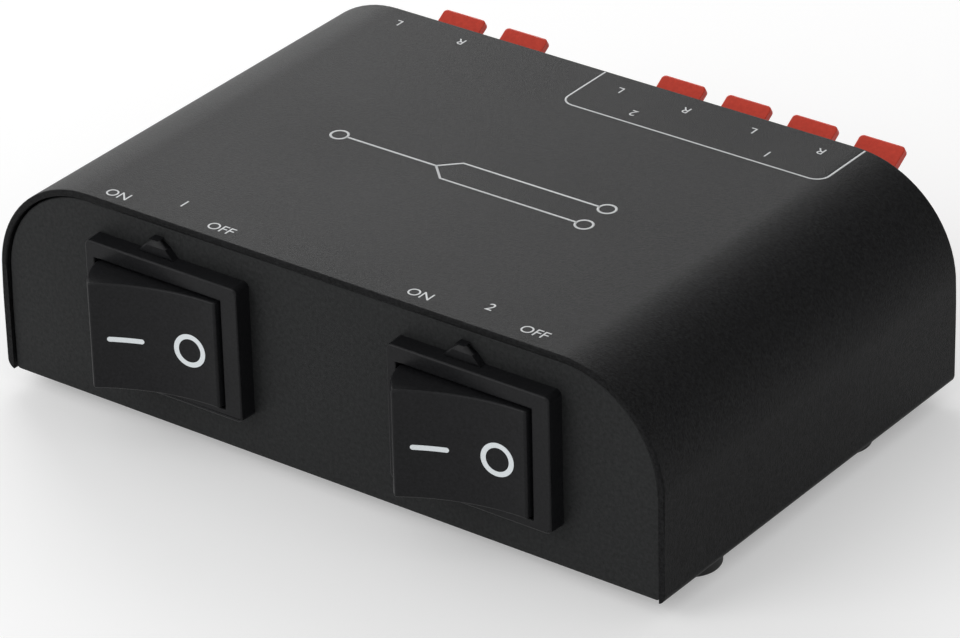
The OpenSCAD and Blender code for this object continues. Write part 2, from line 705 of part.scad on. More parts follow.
module left_channel_wires() color("#b03a2e") in_case() {
  wire(common(-1, 1, 1), 1, [[0.43, before_tags(4), 5]], in_tag(0, 1));
  wire(common(-1, 1, -1), 1, [[0.2, past_blades(2), 4], [0.8, past_blades(2), 4]], common(1, 1, -1), 1);
  wire(throw(-1, 1), 1, [[0.13, before_tags(4), 7], [0.81, before_tags(2), 7]], out_tag(2, 1));
  wire(throw(1, 1), 1, [[0.23, past_blades(3), 5], [0.8, past_blades(3), 5]], out_tag(0, 1));
}

module right_channel_wires() color("#d9d6cc") in_case() {
  wire(common(-1, -1, 1), 1, [[0.5, before_tags(4), 3]], in_tag(1, 1));
  wire(common(-1, -1, -1), 1, [[0.2, past_blades(2), 1], [0.8, past_blades(2), 1]], common(1, -1, -1), 1);
  wire(throw(-1, -1), 1, [[0.05, before_tags(4), 3], [0.35, before_tags(3), 6], [0.85, before_tags(3), 6]],
    out_tag(3, 1));
  wire(throw(1, -1), 1, [[0.28, past_blades(3), 2], [0.83, before_tags(4), 3]], out_tag(1, 1));
}

module return_wires() color("#1b1b1b") in_case() {
  wire(in_tag(0, -1), -1, [[0.2, before_tags(2), 0], [0.83, before_tags(2), 0]], out_tag(0, -1, -1));
  wire(out_tag(0, -1, 1), -1, [[0.23, before_tags(2), 0], [0.75, before_tags(2), 0]], out_tag(2, -1));
  wire(in_tag(1, -1), -1, [[0.17, before_tags(3), 1], [0.84, before_tags(3), 1]], out_tag(1, -1, -1));
  wire(out_tag(1, -1, 1), -1, [[0.25, before_tags(3), 1], [0.75, before_tags(3), 1]], out_tag(3, -1));
}

// ---------- what is drawn ----------

top_cover();
chassis();
feet();
foot_screws();
switch_frame(-1);  // switch_1_frame
rocker(-1);  // switch_1_rocker
plungers(-1);  // switch_1_plungers
plunger_springs(-1);  // switch_1_springs
rocking_contacts(-1);  // switch_1_rocking_contacts
blades(-1);  // switch_1_blades
switch_frame(1);  // switch_2_frame
rocker(1);  // switch_2_rocker
plungers(1);  // switch_2_plungers
plunger_springs(1);  // switch_2_springs
rocking_contacts(1);  // switch_2_rocking_contacts
blades(1);  // switch_2_blades
terminal_block(input_x, input_columns);  // input_block
contacts(input_x, input_columns);  // input_contacts
terminal_block(output_x, output_columns);  // output_block
contacts(output_x, output_columns);  // output_contacts
terminal_screws();
terminal_nuts();
lever(input_x, input_columns, 0, 1);  // input_left_red_lever
lever(input_x, input_columns, 0, -1);  // input_left_black_lever
lever(input_x, input_columns, 1, 1);  // input_right_red_lever
lever(input_x, input_columns, 1, -1);  // input_right_black_lever
lever(output_x, output_columns, 0, 1);  // pair_2_left_red_lever
lever(output_x, output_columns, 0, -1);  // pair_2_left_black_lever
lever(output_x, output_columns, 1, 1);  // pair_2_right_red_lever
lever(output_x, output_columns, 1, -1);  // pair_2_right_black_lever
lever(output_x, output_columns, 2, 1);  // pair_1_left_red_lever
lever(output_x, output_columns, 2, -1);  // pair_1_left_black_lever
lever(output_x, output_columns, 3, 1);  // pair_1_right_red_lever
lever(output_x, output_columns, 3, -1);  // pair_1_right_black_lever
left_channel_wires();
right_channel_wires();
return_wires();
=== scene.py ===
# %% [markdown]
# # A two-way loudspeaker selector
# The object is a low black steel box. A sheet folded over the top carries powder coat, two rocker
# switches sit in the front panel, and rows of spring levers for bare wire sit behind.
# The CAD model gives every piece at its real size. This file dresses it: each visible CAD piece gets
# the small rounded edges that a moulding or a bent sheet has, each finish gets its grain, and the
# print and the switch marks are laid on. Lengths are in metres, and MM turns millimetres into them.

import json
import math

import bmesh
import bpy
from mathutils import Matrix, Vector
from mathutils.bvhtree import BVHTree

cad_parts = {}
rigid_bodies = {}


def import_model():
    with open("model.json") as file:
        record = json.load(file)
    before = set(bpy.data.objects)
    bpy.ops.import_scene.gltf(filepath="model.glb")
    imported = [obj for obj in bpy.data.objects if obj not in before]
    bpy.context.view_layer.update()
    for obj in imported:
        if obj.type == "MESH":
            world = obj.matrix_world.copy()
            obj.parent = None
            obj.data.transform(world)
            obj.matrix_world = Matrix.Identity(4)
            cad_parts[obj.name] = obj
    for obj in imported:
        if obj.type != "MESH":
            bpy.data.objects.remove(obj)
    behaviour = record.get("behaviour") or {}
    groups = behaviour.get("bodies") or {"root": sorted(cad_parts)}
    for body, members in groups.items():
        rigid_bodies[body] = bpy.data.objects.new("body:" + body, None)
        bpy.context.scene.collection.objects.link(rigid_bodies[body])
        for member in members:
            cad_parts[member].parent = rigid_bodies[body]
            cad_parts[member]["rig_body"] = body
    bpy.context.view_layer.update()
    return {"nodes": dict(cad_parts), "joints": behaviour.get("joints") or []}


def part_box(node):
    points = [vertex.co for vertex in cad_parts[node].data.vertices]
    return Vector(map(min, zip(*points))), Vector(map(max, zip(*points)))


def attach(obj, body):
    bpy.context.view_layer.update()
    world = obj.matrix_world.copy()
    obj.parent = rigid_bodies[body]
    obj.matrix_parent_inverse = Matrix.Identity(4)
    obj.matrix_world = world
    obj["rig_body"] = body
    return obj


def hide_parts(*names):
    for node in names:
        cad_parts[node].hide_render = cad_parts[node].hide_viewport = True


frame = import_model()
joints = {joint["name"]: joint for joint in frame["joints"]}
MM = 0.001

# %% [markdown]
# ## Where things are
# A printed word or a camera target needs a place. Reading it from the CAD boxes, and not typing it
# in, keeps it right when a size changes. The cover gives the case: its rims, its top and its middle.

# %% Places on the case
cover_low, cover_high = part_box("top_cover")
FRONT_RIM = cover_low.y
REAR_RIM = cover_high.y
TOP = cover_high.z
case_middle = (cover_low + cover_high) / 2
print("front rim, rear rim, top, mm:", [round(x / MM, 1) for x in (FRONT_RIM, REAR_RIM, TOP)])

# %% [markdown]
# ## The camera
# The picture is taken from the front right, from above, through a long lens, so that parallel edges
# stay almost parallel. A camera could be aimed with a constraint, but its axes written out show how
# azimuth, elevation and roll make a rotation, and nothing is left to evaluate later.

# %% Camera
AZIMUTH = math.radians(37.255)
ELEVATION = math.radians(28.475)
ROLL = math.radians(-1.515)
DISTANCE = 0.8777
LENS_MM = 199.5
NEAREST = 0.05
AIM_RIGHT = 0.71 * MM
AIM_DOWN = 7.41 * MM


def axes_of_view(back, roll):
    """The camera's right and up axes, for a view along -back turned by roll."""
    level = Vector((0, 0, 1)).cross(back).normalized()
    upright = back.cross(level)
    right = math.cos(roll) * level + math.sin(roll) * upright
    up = math.cos(roll) * upright - math.sin(roll) * level
    return right, up


def add_object(name, data):
    """A new object in the scene, at the origin."""
    added = bpy.data.objects.new(name, data)
    bpy.context.scene.collection.objects.link(added)
    return added


outward = Vector(
    (
        math.sin(AZIMUTH) * math.cos(ELEVATION),
        -math.cos(AZIMUTH) * math.cos(ELEVATION),
        math.sin(ELEVATION),
    )
)
eye = case_middle + DISTANCE * outward
right, up = axes_of_view(outward, ROLL)
target = case_middle + AIM_RIGHT * right - AIM_DOWN * up
outward = (eye - target).normalized()
right, up = axes_of_view(outward, ROLL)

camera = add_object("camera", bpy.data.cameras.new("camera"))
camera.data.lens = LENS_MM
camera.data.clip_start = NEAREST
camera.matrix_world = Matrix.Translation(eye) @ Matrix((right, up, outward)).transposed().to_4x4()
bpy.context.scene.camera = camera
print("camera at, mm:", [round(x / MM) for x in eye])

# %% [markdown]
# ## Shader groups
# Paint, plastic and rubber all have a skin that is never quite even: a fine grain that light catches,
# and slow changes of gloss where it was sprayed or handled. Each effect is a node group, built once
# and placed in every material with its own values. The groups read a position that the material
# gives them, and put out plain values, so the material keeps its own shader.


# %% Group helpers
def new_group(name, inputs, outputs):
    """A shader node group with float inputs (a vector for Position) and float outputs."""
    group = bpy.data.node_groups.new(name, "ShaderNodeTree")
    for socket in inputs:
        kind = "NodeSocketVector" if socket == "Position" else "NodeSocketFloat"
        group.interface.new_socket(socket, in_out="INPUT", socket_type=kind)
    for socket in outputs:
        group.interface.new_socket(socket, in_out="OUTPUT", socket_type="NodeSocketFloat")
    return group, group.nodes.new("NodeGroupInput"), group.nodes.new("NodeGroupOutput")


def math_node(tree, operation, first, second):
    """The output of a math node, whose inputs are sockets or numbers."""
    node = tree.nodes.new("ShaderNodeMath")
    node.operation = operation
    for socket, value in zip(node.inputs, (first, second)):
        if isinstance(value, (int, float)):
            socket.default_value = value
        else:
            tree.links.new(value, socket)
    return node.outputs[0]


def noise_at(tree, position, size, detail, roughness):
    """Noise whose features are as large as the size that a socket gives, in metres."""
    scale = tree.nodes.new("ShaderNodeVectorMath")
    scale.operation = "SCALE"
    tree.links.new(position, scale.inputs[0])
    tree.links.new(math_node(tree, "DIVIDE", 1.0, size), scale.inputs["Scale"])
    noise = tree.nodes.new("ShaderNodeTexNoise")
    noise.inputs["Scale"].default_value = 1.0
    noise.inputs["Detail"].default_value = detail
    noise.inputs["Roughness"].default_value = roughness
    tree.links.new(scale.outputs[0], noise.inputs["Vector"])
    return noise.outputs[0]


def stretch(tree, value, span):
    """A Map Range node that takes a span from the middle of a noise as its whole range."""
    node = tree.nodes.new("ShaderNodeMapRange")
    node.inputs["From Min"].default_value, node.inputs["From Max"].default_value = span
    tree.links.new(value, node.inputs["Value"])
    return node


# %% Fine grain
GRAIN_NOISE = {"detail": 3.0, "roughness": 0.55}
SPECKLE_NOISE = {"detail": 4.0, "roughness": 0.7}
SPECKLE_TO_GRAIN = 2.3
SPECKLE_SPAN = (0.3, 0.7)

grain_group, grain_in, grain_out = new_group("fine_grain", ["Position", "Grain"], ["Height", "Speckle"])
position, grain = grain_in.outputs["Position"], grain_in.outputs["Grain"]
height = noise_at(grain_group, position, grain, **GRAIN_NOISE)
coarse = math_node(grain_group, "MULTIPLY", grain, SPECKLE_TO_GRAIN)
speckle = noise_at(grain_group, position, coarse, **SPECKLE_NOISE)
contrast = stretch(grain_group, speckle, SPECKLE_SPAN)
grain_group.links.new(height, grain_out.inputs["Height"])
grain_group.links.new(contrast.outputs[0], grain_out.inputs["Speckle"])
print("group", grain_group.name, "has", len(grain_group.nodes), "nodes")

# %% Slow changes of gloss
PATCH_NOISE = {"detail": 2.0, "roughness": 0.5}
PATCH_SPAN = (0.35, 0.65)

gloss_sockets = ["Position", "Patch", "Low", "High"]
gloss_group, gloss_in, gloss_out = new_group("uneven_gloss", gloss_sockets, ["Roughness"])
position, patch = gloss_in.outputs["Position"], gloss_in.outputs["Patch"]
spread = stretch(gloss_group, noise_at(gloss_group, position, patch, **PATCH_NOISE), PATCH_SPAN)
gloss_group.links.new(gloss_in.outputs["Low"], spread.inputs["To Min"])
gloss_group.links.new(gloss_in.outputs["High"], spread.inputs["To Max"])
gloss_group.links.new(spread.outputs[0], gloss_out.inputs["Roughness"])
print("group", gloss_group.name, "has", len(gloss_group.nodes), "nodes")

# %% [markdown]
# ## Finishes
# Every finish here is a Principled shader fed by the two groups: a pair of close colours mixed by the
# speckle, a roughness that drifts, and a bump from the grain. What differs is the scale. Powder coat
# has an orange-peel grain of about a quarter of a millimetre and a tenth deep. A mould leaves a grain
# of the same size, but far shallower, and metal has almost none. The specular level stays low on the
# black paint, which reflects little.


# %% The finish builder
def place_group(tree, group, position, **values):
    """Puts a shader group into a material, with numbers for its inputs, and gives its outputs."""
    node = tree.nodes.new("ShaderNodeGroup")
    node.node_tree = group
    tree.links.new(position, node.inputs["Position"])
    for socket, value in values.items():
        node.inputs[socket].default_value = value
    return node.outputs


def finish(name, dark, light, rough, grain, depth, patch=12 * MM, metallic=0.0, level=0.5):
    """A material with two close colours, a range of roughness, and a grain of a size and a depth."""
    material = bpy.data.materials.new(name)
    material.use_nodes = True
    tree = material.node_tree
    links = tree.links
    shader = tree.nodes["Principled BSDF"]
    shader.inputs["Metallic"].default_value = metallic
    shader.inputs["Specular IOR Level"].default_value = level
    position = tree.nodes.new("ShaderNodeTexCoord").outputs["Object"]
    skin = place_group(tree, grain_group, position, Grain=grain)
    drift = place_group(tree, gloss_group, position, Patch=patch, Low=rough[0], High=rough[1])
    tint = tree.nodes.new("ShaderNodeMix")
    tint.data_type = "RGBA"
    tint.inputs["A"].default_value = (*dark, 1.0)
    tint.inputs["B"].default_value = (*light, 1.0)
    bump = tree.nodes.new("ShaderNodeBump")
    bump.inputs["Strength"].default_value = 1.0
    bump.inputs["Distance"].default_value = depth
    links.new(skin["Speckle"], tint.inputs["Factor"])
    links.new(skin["Height"], bump.inputs["Height"])
    links.new(tint.outputs["Result"], shader.inputs["Base Color"])
    links.new(drift["Roughness"], shader.inputs["Roughness"])
    links.new(bump.outputs["Normal"], shader.inputs["Normal"])
    return material


# %% Paint, plastic and rubber
powder_coat = finish(
    "powder_coat", dark=(0.003, 0.003, 0.0032), light=(0.017, 0.0173, 0.018),
    rough=(0.43, 0.46), grain=0.24 * MM, depth=0.1 * MM, patch=60 * MM, level=0.06,
)
panel_paint = finish(
    "panel_enamel", dark=(0.01, 0.0105, 0.0108), light=(0.025, 0.026, 0.0265),
    rough=(0.5, 0.56), grain=0.3 * MM, depth=0.04 * MM, patch=30 * MM, level=0.15,
)
switch_plastic = finish(
    "switch_moulding", dark=(0.0045, 0.0046, 0.0052), light=(0.0125, 0.0127, 0.014),
    rough=(0.34, 0.42), grain=0.22 * MM, depth=0.02 * MM, level=0.16,
)
terminal_black = finish(
    "terminal_moulding", dark=(0.01, 0.01, 0.0105), light=(0.016, 0.016, 0.017),
    rough=(0.4, 0.5), grain=0.25 * MM, depth=0.01 * MM, level=0.25,
)
terminal_red = finish(
    "red_moulding", dark=(0.56, 0.042, 0.022), light=(0.68, 0.06, 0.032),
    rough=(0.3, 0.38), grain=0.4 * MM, depth=0.01 * MM, level=0.2,
)
foot_rubber = finish(
    "foot_rubber", dark=(0.008, 0.008, 0.008), light=(0.014, 0.014, 0.014),
    rough=(0.7, 0.8), grain=0.3 * MM, depth=0.02 * MM,
)
nylon = finish(
    "nylon", dark=(0.68, 0.67, 0.6), light=(0.74, 0.73, 0.67),
    rough=(0.35, 0.45), grain=0.5 * MM, depth=0.006 * MM,
)

# %% Metal and ink
zinc = finish(
    "zinc_plate", dark=(0.5, 0.51, 0.53), light=(0.6, 0.61, 0.63),
    rough=(0.24, 0.36), grain=0.12 * MM, depth=0.003 * MM, patch=1.5 * MM, metallic=1.0,
)
spring_steel = finish(
    "spring_wire", dark=(0.4, 0.4, 0.42), light=(0.5, 0.5, 0.52),
    rough=(0.25, 0.3), grain=0.1 * MM, depth=0.002 * MM, metallic=1.0,
)
brass = finish(
    "brass_sheet", dark=(0.62, 0.42, 0.17), light=(0.74, 0.53, 0.23),
    rough=(0.22, 0.34), grain=0.1 * MM, depth=0.002 * MM, metallic=1.0,
)
white_ink = finish(
    "white_ink", dark=(0.86, 0.91, 0.94), light=(0.9, 0.95, 0.97),
    rough=(0.45, 0.5), grain=0.1 * MM, depth=0.003 * MM,
)
grey_ink = finish(
    "grey_ink", dark=(0.52, 0.53, 0.54), light=(0.62, 0.63, 0.64),
    rough=(0.5, 0.6), grain=0.2 * MM, depth=0.006 * MM,
)

# %% Wire insulation
WIRE_LIGHTER = 1.15
wire_colours = {
    "left_channel_wires": ("red_insulation", (0.42, 0.03, 0.02)),
    "right_channel_wires": ("cream_insulation", (0.66, 0.62, 0.5)),
    "return_wires": ("black_insulation", (0.012, 0.012, 0.012)),
}
wire_skins = {}
for node, (name, tone) in wire_colours.items():
    lighter = tuple(WIRE_LIGHTER * c for c in tone)
    wire_skins[node] = finish(name, tone, lighter, rough=(0.35, 0.45), grain=0.6 * MM, depth=0.004 * MM)
print("finishes:", len(bpy.data.materials))

# %% [markdown]
# ## Rounded edges
# A CAD solid has knife edges, and a real one never has: a bent sheet, a moulding and a turned screw
# all catch a thin line of light along each edge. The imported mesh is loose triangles, so a copy of it
# is merged first, and its flat faces are made whole again. A Bevel modifier could round every edge by
# its angle, but pivot pins and slots have steps that are finer than the radius and would fold over.
# So a rule for each piece picks its edges, which get a bevel weight, and the modifier follows that.
# Weighted normals keep the broad faces flat between the roundings.


# %% Copies of CAD meshes
MERGE = 0.02 * MM
FLAT = math.radians(0.4)
CREASE = math.radians(30)


def whole_mesh(node):
    """A CAD node's mesh as a bmesh, merged, with each flat face in one piece."""
    source = frame["nodes"][node].data
    plain = bpy.data.meshes.new("plain")
    corners = [tuple(v.co) for v in source.vertices]
    plain.from_pydata(corners, [], [tuple(p.vertices) for p in source.polygons])
    work = bmesh.new()
    work.from_mesh(plain)
    bpy.data.meshes.remove(plain)
    bmesh.ops.remove_doubles(work, verts=work.verts, dist=MERGE)
    bmesh.ops.dissolve_degenerate(work, edges=work.edges, dist=MERGE / 4)
    bmesh.ops.dissolve_limit(work, angle_limit=FLAT, verts=work.verts, edges=work.edges)
    return work


def new_piece(name, work, material):
    """An object from a bmesh, shaded smooth between creases, at the origin."""
    mesh = bpy.data.meshes.new(name)
    work.to_mesh(mesh)
    work.free()
    mesh.shade_smooth()
    mesh.set_sharp_from_angle(angle=CREASE)
    mesh.materials.append(material)
    return add_object(name, mesh)


def settle(piece):
    """Turns what the modifiers make into the piece's own mesh."""
    graph = bpy.context.evaluated_depsgraph_get()
    made = bpy.data.meshes.new_from_object(piece.evaluated_get(graph))
    piece.modifiers.clear()
    piece.data = made
    return piece


# %% Marking and rounding
def mark_edges(work, rule):
    """Gives each sharp edge the bevel weight, from 0 to 1, that the rule gives for its two ends."""
    weight = work.edges.layers.float.new("bevel_weight_edge")
    for edge in work.edges:
        if edge.calc_face_angle(0) > CREASE:
            edge[weight] = float(rule(*(vert.co for vert in edge.verts)))
    return work


def round_edges(piece, radius, segments):
    """Rounds the marked edges by a radius and keeps the broad faces flat."""
    bevel = piece.modifiers.new("edges", "BEVEL")
    bevel.width = radius
    bevel.segments = segments
    bevel.limit_method = "WEIGHT"
    bevel.use_clamp_overlap = False
    bevel.miter_outer = "MITER_ARC"
    piece.modifiers.new("normals", "WEIGHTED_NORMAL").keep_sharp = True
    return settle(piece)


# %% Dressing a node
def body_of(node):
    """The body that a CAD node rides on."""
    return frame["nodes"][node]["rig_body"]


def dress(node, name, material, radius, rule, segments=3):
    """Replaces a CAD node by a copy with a finish, rounded at the edges that the rule picks."""
    copy = new_piece(name, mark_edges(whole_mesh(node), rule), material)
    piece = round_edges(copy, radius, segments)
    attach(piece, body_of(node))
    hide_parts(node)
    print(f"{name}: {len(piece.data.polygons)} faces")
    return piece


# %% [markdown]
# ## The folded cover and the panels
# The cover is one sheet, bent over two large shoulders and turned in under the sides. Its cut edges at
# the front and rear are the thin bands round the panels, and they catch the light along the shoulders.
# The chassis is folded from one sheet too: front panel, base and rear panel. Only edges in the planes
# of the rims and of the panels' outer faces are rounded, and none down where the sheets turn in.

# %% Cover and chassis
SHEET_EDGE_R = 0.28 * MM
PANEL_EDGE_R = 0.3 * MM
TURN_IN = 2.5 * MM
NEAR = 0.03 * MM


def on_planes(lowest, *depths):
    """A rule for edges above a height that lie in one of several planes across the case."""

    def rule(a, b):
        if min(a.z, b.z) < lowest:
            return False
        return any(max(abs(a.y - depth), abs(b.y - depth)) < NEAR for depth in depths)

    return rule


rims = on_planes(cover_low.z + TURN_IN, FRONT_RIM, REAR_RIM)
cover = dress("top_cover", "folded_cover", powder_coat, SHEET_EDGE_R, rims)
panel_low, panel_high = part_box("chassis")
panels = on_planes(panel_low.z + TURN_IN, panel_low.y, panel_high.y)
dress("chassis", "folded_chassis", panel_paint, PANEL_EDGE_R, panels)

# %% [markdown]
# ## The rocker switches
# Frame and rocker are fine satin mouldings with a rounding of a few tenths of a millimetre, which
# shows as a bright line round each face. The rules keep to what stands before the panel and stay
# clear of the pivot pins. The lug above a frame has a blunt peak, so the edge along it has the full
# bevel weight, and all the others have a share of it. Both switches are the same, so a loop makes them.

# %% Frames and rockers
FRAME_EDGE_R = 0.3 * MM
LUG_R = 1.7 * MM
ROCKER_EDGE_R = 0.35 * MM
ROCKER_SEGMENTS = 4
PIN_CLEAR = 1.8 * MM
FRAME_ROUND_TO = FRONT_RIM + 0.1 * MM
ROCKER_ROUND_TO = FRONT_RIM - 1.0 * MM


def clear_of(pivot, axis, depth):
    """A rule for edges in front of a depth and away from a pivot's axis."""

    def rule(a, b):
        away = min((point - pivot - (point - pivot).project(axis)).length for point in (a, b))
        return away > PIN_CLEAR and max(a.y, b.y) < depth

    return rule


def frame_rule(outside, peak):
    """Small roundings outside, and a large one on the edge along the lug's peak."""
    return lambda a, b: 1.0 if min(a.z, b.z) > peak - NEAR else outside(a, b) * FRAME_EDGE_R / LUG_R


rockers = {}
for number in (1, 2):
    hinge = joints[f"switch_{number}_rocker_rock"]
    pivot, axis = Vector(hinge["pos_m"]), Vector(hinge["axis"])
    outside = clear_of(pivot, axis, FRAME_ROUND_TO)
    moving = clear_of(pivot, axis, ROCKER_ROUND_TO)
    framing = frame_rule(outside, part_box(f"switch_{number}_frame")[1].z)
    dress(f"switch_{number}_frame", f"switch_{number}_bezel", switch_plastic, LUG_R, framing)
    node, name = f"switch_{number}_rocker", f"switch_{number}_paddle"
    rockers[number] = dress(node, name, switch_plastic, ROCKER_EDGE_R, moving, ROCKER_SEGMENTS)

# %% [markdown]
# ### The marks on the rockers
# A line for on and a ring for off are stamped in white on the hollow face. A flat decal would cut
# through that face, so each mark is drawn flat, and then every point of it is carried to the face by
# a ray, the way a transfer film is pressed on. It then follows the hollow and rides on the rocker.

# %% Flat marks
MARK_STROKE = 0.88 * MM
MARK_DROP = 0.4 * MM
DASH_AT, DASH_LENGTH = -5.3 * MM, 6.2 * MM
DASH_END_DEGREES = 80
RING_AT, RING_WIDE, RING_TALL = 5.95 * MM, 5.8 * MM, 6.0 * MM


def strip_of_points(rows):
    """A bmesh sheet through rows of points, all rows equally long."""
    work = bmesh.new()
    grid = [[work.verts.new(point) for point in row] for row in rows]
    for row, following in zip(grid, grid[1:]):
        for a, b, c, d in zip(row, row[1:], following[1:], following):
            work.faces.new((a, b, c, d))
    return work


def dash_rows(steps=10):
    """A bar with round ends, lying flat: x along the rocker's face, y up it."""
    end = MARK_STROKE / 2
    straight = DASH_LENGTH / 2 - end
    turns = [math.radians(DASH_END_DEGREES * i / steps) for i in range(steps, 0, -1)]
    left_end = [(-straight - end * math.sin(t), end * math.cos(t)) for t in turns]
    middle = [(straight * (2 * i / steps - 1), end) for i in range(steps + 1)]
    right_end = [(-x, half) for x, half in reversed(left_end)]
    outline = left_end + middle + right_end
    rows = []
    for side in (-1, 0, 1):
        rows.append([Vector((DASH_AT + x, side * half - MARK_DROP, 0)) for x, half in outline])
    return rows


def ring_rows(steps=64):
    """A closed ring, a little taller than wide, lying flat."""
    turns = [math.tau * (i % steps) / steps for i in range(steps + 1)]
    rows = []
    for inset in (MARK_STROKE, MARK_STROKE / 2, 0):
        wide, tall = RING_WIDE / 2 - inset, RING_TALL / 2 - inset
        outline = [(wide * math.cos(t), tall * math.sin(t)) for t in turns]
        rows.append([Vector((RING_AT + x, y - MARK_DROP, 0)) for x, y in outline])
    return rows


# %% Marks pressed on
ROCKER_LEAN = math.radians(16.5)
MARK_DEPTH = 0.04 * MM
REACH = 20 * MM


def press_on(work, rocker, pivot):
    """Carries flat points to the rocker's face and gives them a thin film's thickness."""
    lean = Matrix.Rotation(ROCKER_LEAN, 3, "Z")
    faces = BVHTree.FromObject(rocker, bpy.context.evaluated_depsgraph_get())
    bmesh.ops.remove_doubles(work, verts=work.verts, dist=MERGE)
    inward = lean @ Vector((0, 1, 0))
    for vert in work.verts:
        start = pivot + lean @ Vector((vert.co.x, -REACH, vert.co.y))
        hit = faces.ray_cast(start, inward)[0]
        vert.co = hit - inward * MARK_DEPTH
    bmesh.ops.recalc_face_normals(work, faces=work.faces)
    if work.faces[:][0].normal.dot(inward) > 0:
        bmesh.ops.reverse_faces(work, faces=work.faces)
    film = bmesh.ops.extrude_face_region(work, geom=work.faces[:])
    for item in film["geom"]:
        if isinstance(item, bmesh.types.BMVert):
            item.co += inward * 2 * MARK_DEPTH
    bmesh.ops.recalc_face_normals(work, faces=work.faces)
    return work


for number, rocker in rockers.items():
    pivot = Vector(joints[f"switch_{number}_rocker_rock"]["pos_m"])
    for mark, rows in (("dash", dash_rows()), ("ring", ring_rows())):
        film = press_on(strip_of_points(rows), rocker, pivot)
        piece = new_piece(f"switch_{number}_{mark}", film, white_ink)
        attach(piece, body_of(f"switch_{number}_rocker"))
        print(piece.name, len(piece.data.polygons), "faces")

# %% [markdown]
# ## Terminals
# Each block is a black moulding with one cell for every wire. A lever in each cell ends in a tab, red
# in the upper row and black in the lower. They move one by one, so each is a piece of its own. A
# block is rounded where it stands behind the panel, and a lever everywhere but at its pivot.

# %% Blocks and levers
BLOCK_EDGE_R = 0.12 * MM
LEVER_EDGE_R = 0.3 * MM


def behind_panel(a, b):
    """A rule for edges that stand behind the rear panel."""
    return min(a.y, b.y) > REAR_RIM


for block in ("input_block", "output_block"):
    dress(block, f"{block}_moulding", terminal_black, BLOCK_EDGE_R, behind_panel)
for node in sorted(frame["nodes"]):
    if node.endswith("_lever"):
        hinge = joints[f"{node}_press"]
        away = clear_of(Vector(hinge["pos_m"]), Vector(hinge["axis"]), math.inf)
        plastic = terminal_red if "_red_" in node else terminal_black
        dress(node, f"{node}_moulding", plastic, LEVER_EDGE_R, away)

# %% [markdown]
# ## Screws and feet, placed by Geometry Nodes
# Four feet and eight screws are alike, and each kind is one turned shape. Geometry Nodes set a copy on
# every point of a small point mesh, so the shape is made once. The tree ends in Realize Instances and
# Set Material, because an instance has no mesh of its own for the export to keep. The points are the
# middles of the CAD solids, found by following each solid's connected faces.


# %% Solids of a node
def solids_of(node):
    """The lowest and highest corner of each separate solid in a CAD node."""
    work = whole_mesh(node)
    left = set(work.verts)
    found = []
    while left:
        reached = [left.pop()]
        for vert in reached:
            near = {edge.other_vert(vert) for edge in vert.link_edges} & left
            left -= near
            reached.extend(near)
        corners = [vert.co.copy() for vert in reached]
        low = Vector(min(c[i] for c in corners) for i in range(3))
        high = Vector(max(c[i] for c in corners) for i in range(3))
        found.append((low, high))
    work.free()
    return found


foot_boxes = solids_of("feet")
foot_screw_boxes = solids_of("foot_screws")
ear_screw_boxes = solids_of("terminal_screws")
all_boxes = (foot_boxes, foot_screw_boxes, ear_screw_boxes)
print("feet, foot screws, ear screws:", [len(boxes) for boxes in all_boxes])


# %% Geometry Nodes helpers
def new_tree(name, inputs, output):
    """A Geometry Nodes tree with inputs of named kinds and one geometry output."""
    tree = bpy.data.node_groups.new(name, "GeometryNodeTree")
    for socket, kind in inputs.items():
        tree.interface.new_socket(socket, in_out="INPUT", socket_type=f"NodeSocket{kind}")
    tree.interface.new_socket(output, in_out="OUTPUT", socket_type="NodeSocketGeometry")
    return tree, tree.nodes.new("NodeGroupInput"), tree.nodes.new("NodeGroupOutput")


def end_tree(tree, geometry, material, output):
    """Ends a tree with Realize Instances and Set Material."""
    real = tree.nodes.new("GeometryNodeRealizeInstances")
    paint = tree.nodes.new("GeometryNodeSetMaterial")
    tree.links.new(geometry, real.inputs["Geometry"])
    tree.links.new(real.outputs["Geometry"], paint.inputs["Geometry"])
    tree.links.new(material, paint.inputs["Material"])
    tree.links.new(paint.outputs["Geometry"], output)


def run_tree(piece, tree, values):
    """Runs a tree on a piece, with values for its inputs by name, and keeps the mesh it makes."""
    modifier = piece.modifiers.new(tree.name, "NODES")
    modifier.node_group = tree
    for socket in tree.interface.items_tree:
        if socket.in_out == "INPUT" and socket.name in values:
            modifier[socket.identifier] = values[socket.name]
    return settle(piece)


# %% The copying tree
def copying_tree():
    """Geometry nodes that set a turned copy of one shape on every point."""
    inputs = {"Points": "Geometry", "Shape": "Object", "Turn": "Rotation", "Finish": "Material"}
    tree, start, end = new_tree("copies_on_points", inputs, "Copies")
    nodes, links = tree.nodes, tree.links
    shape = nodes.new("GeometryNodeObjectInfo")
    copies = nodes.new("GeometryNodeInstanceOnPoints")
    links.new(start.outputs["Points"], copies.inputs["Points"])
    links.new(start.outputs["Shape"], shape.inputs["Object"])
    links.new(shape.outputs["Geometry"], copies.inputs["Instance"])
    links.new(start.outputs["Turn"], copies.inputs["Rotation"])
    end_tree(tree, copies.outputs["Instances"], start.outputs["Finish"], end.inputs["Copies"])
    return tree


copies_on_points = copying_tree()


def copies(name, shape, points, turn, material, nodes):
    """Makes one piece with a copy of shape on each point, in place of the named CAD nodes."""
    mesh = bpy.data.meshes.new(name)
    mesh.from_pydata([tuple(p) for p in points], [], [])
    piece = add_object(name, mesh)
    run_tree(piece, copies_on_points, {"Shape": shape, "Turn": turn, "Finish": material})
    bpy.data.objects.remove(shape)
    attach(piece, body_of(nodes[0]))
    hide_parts(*nodes)
    print(f"{name}: {len(points)} copies, {len(piece.data.polygons)} faces")


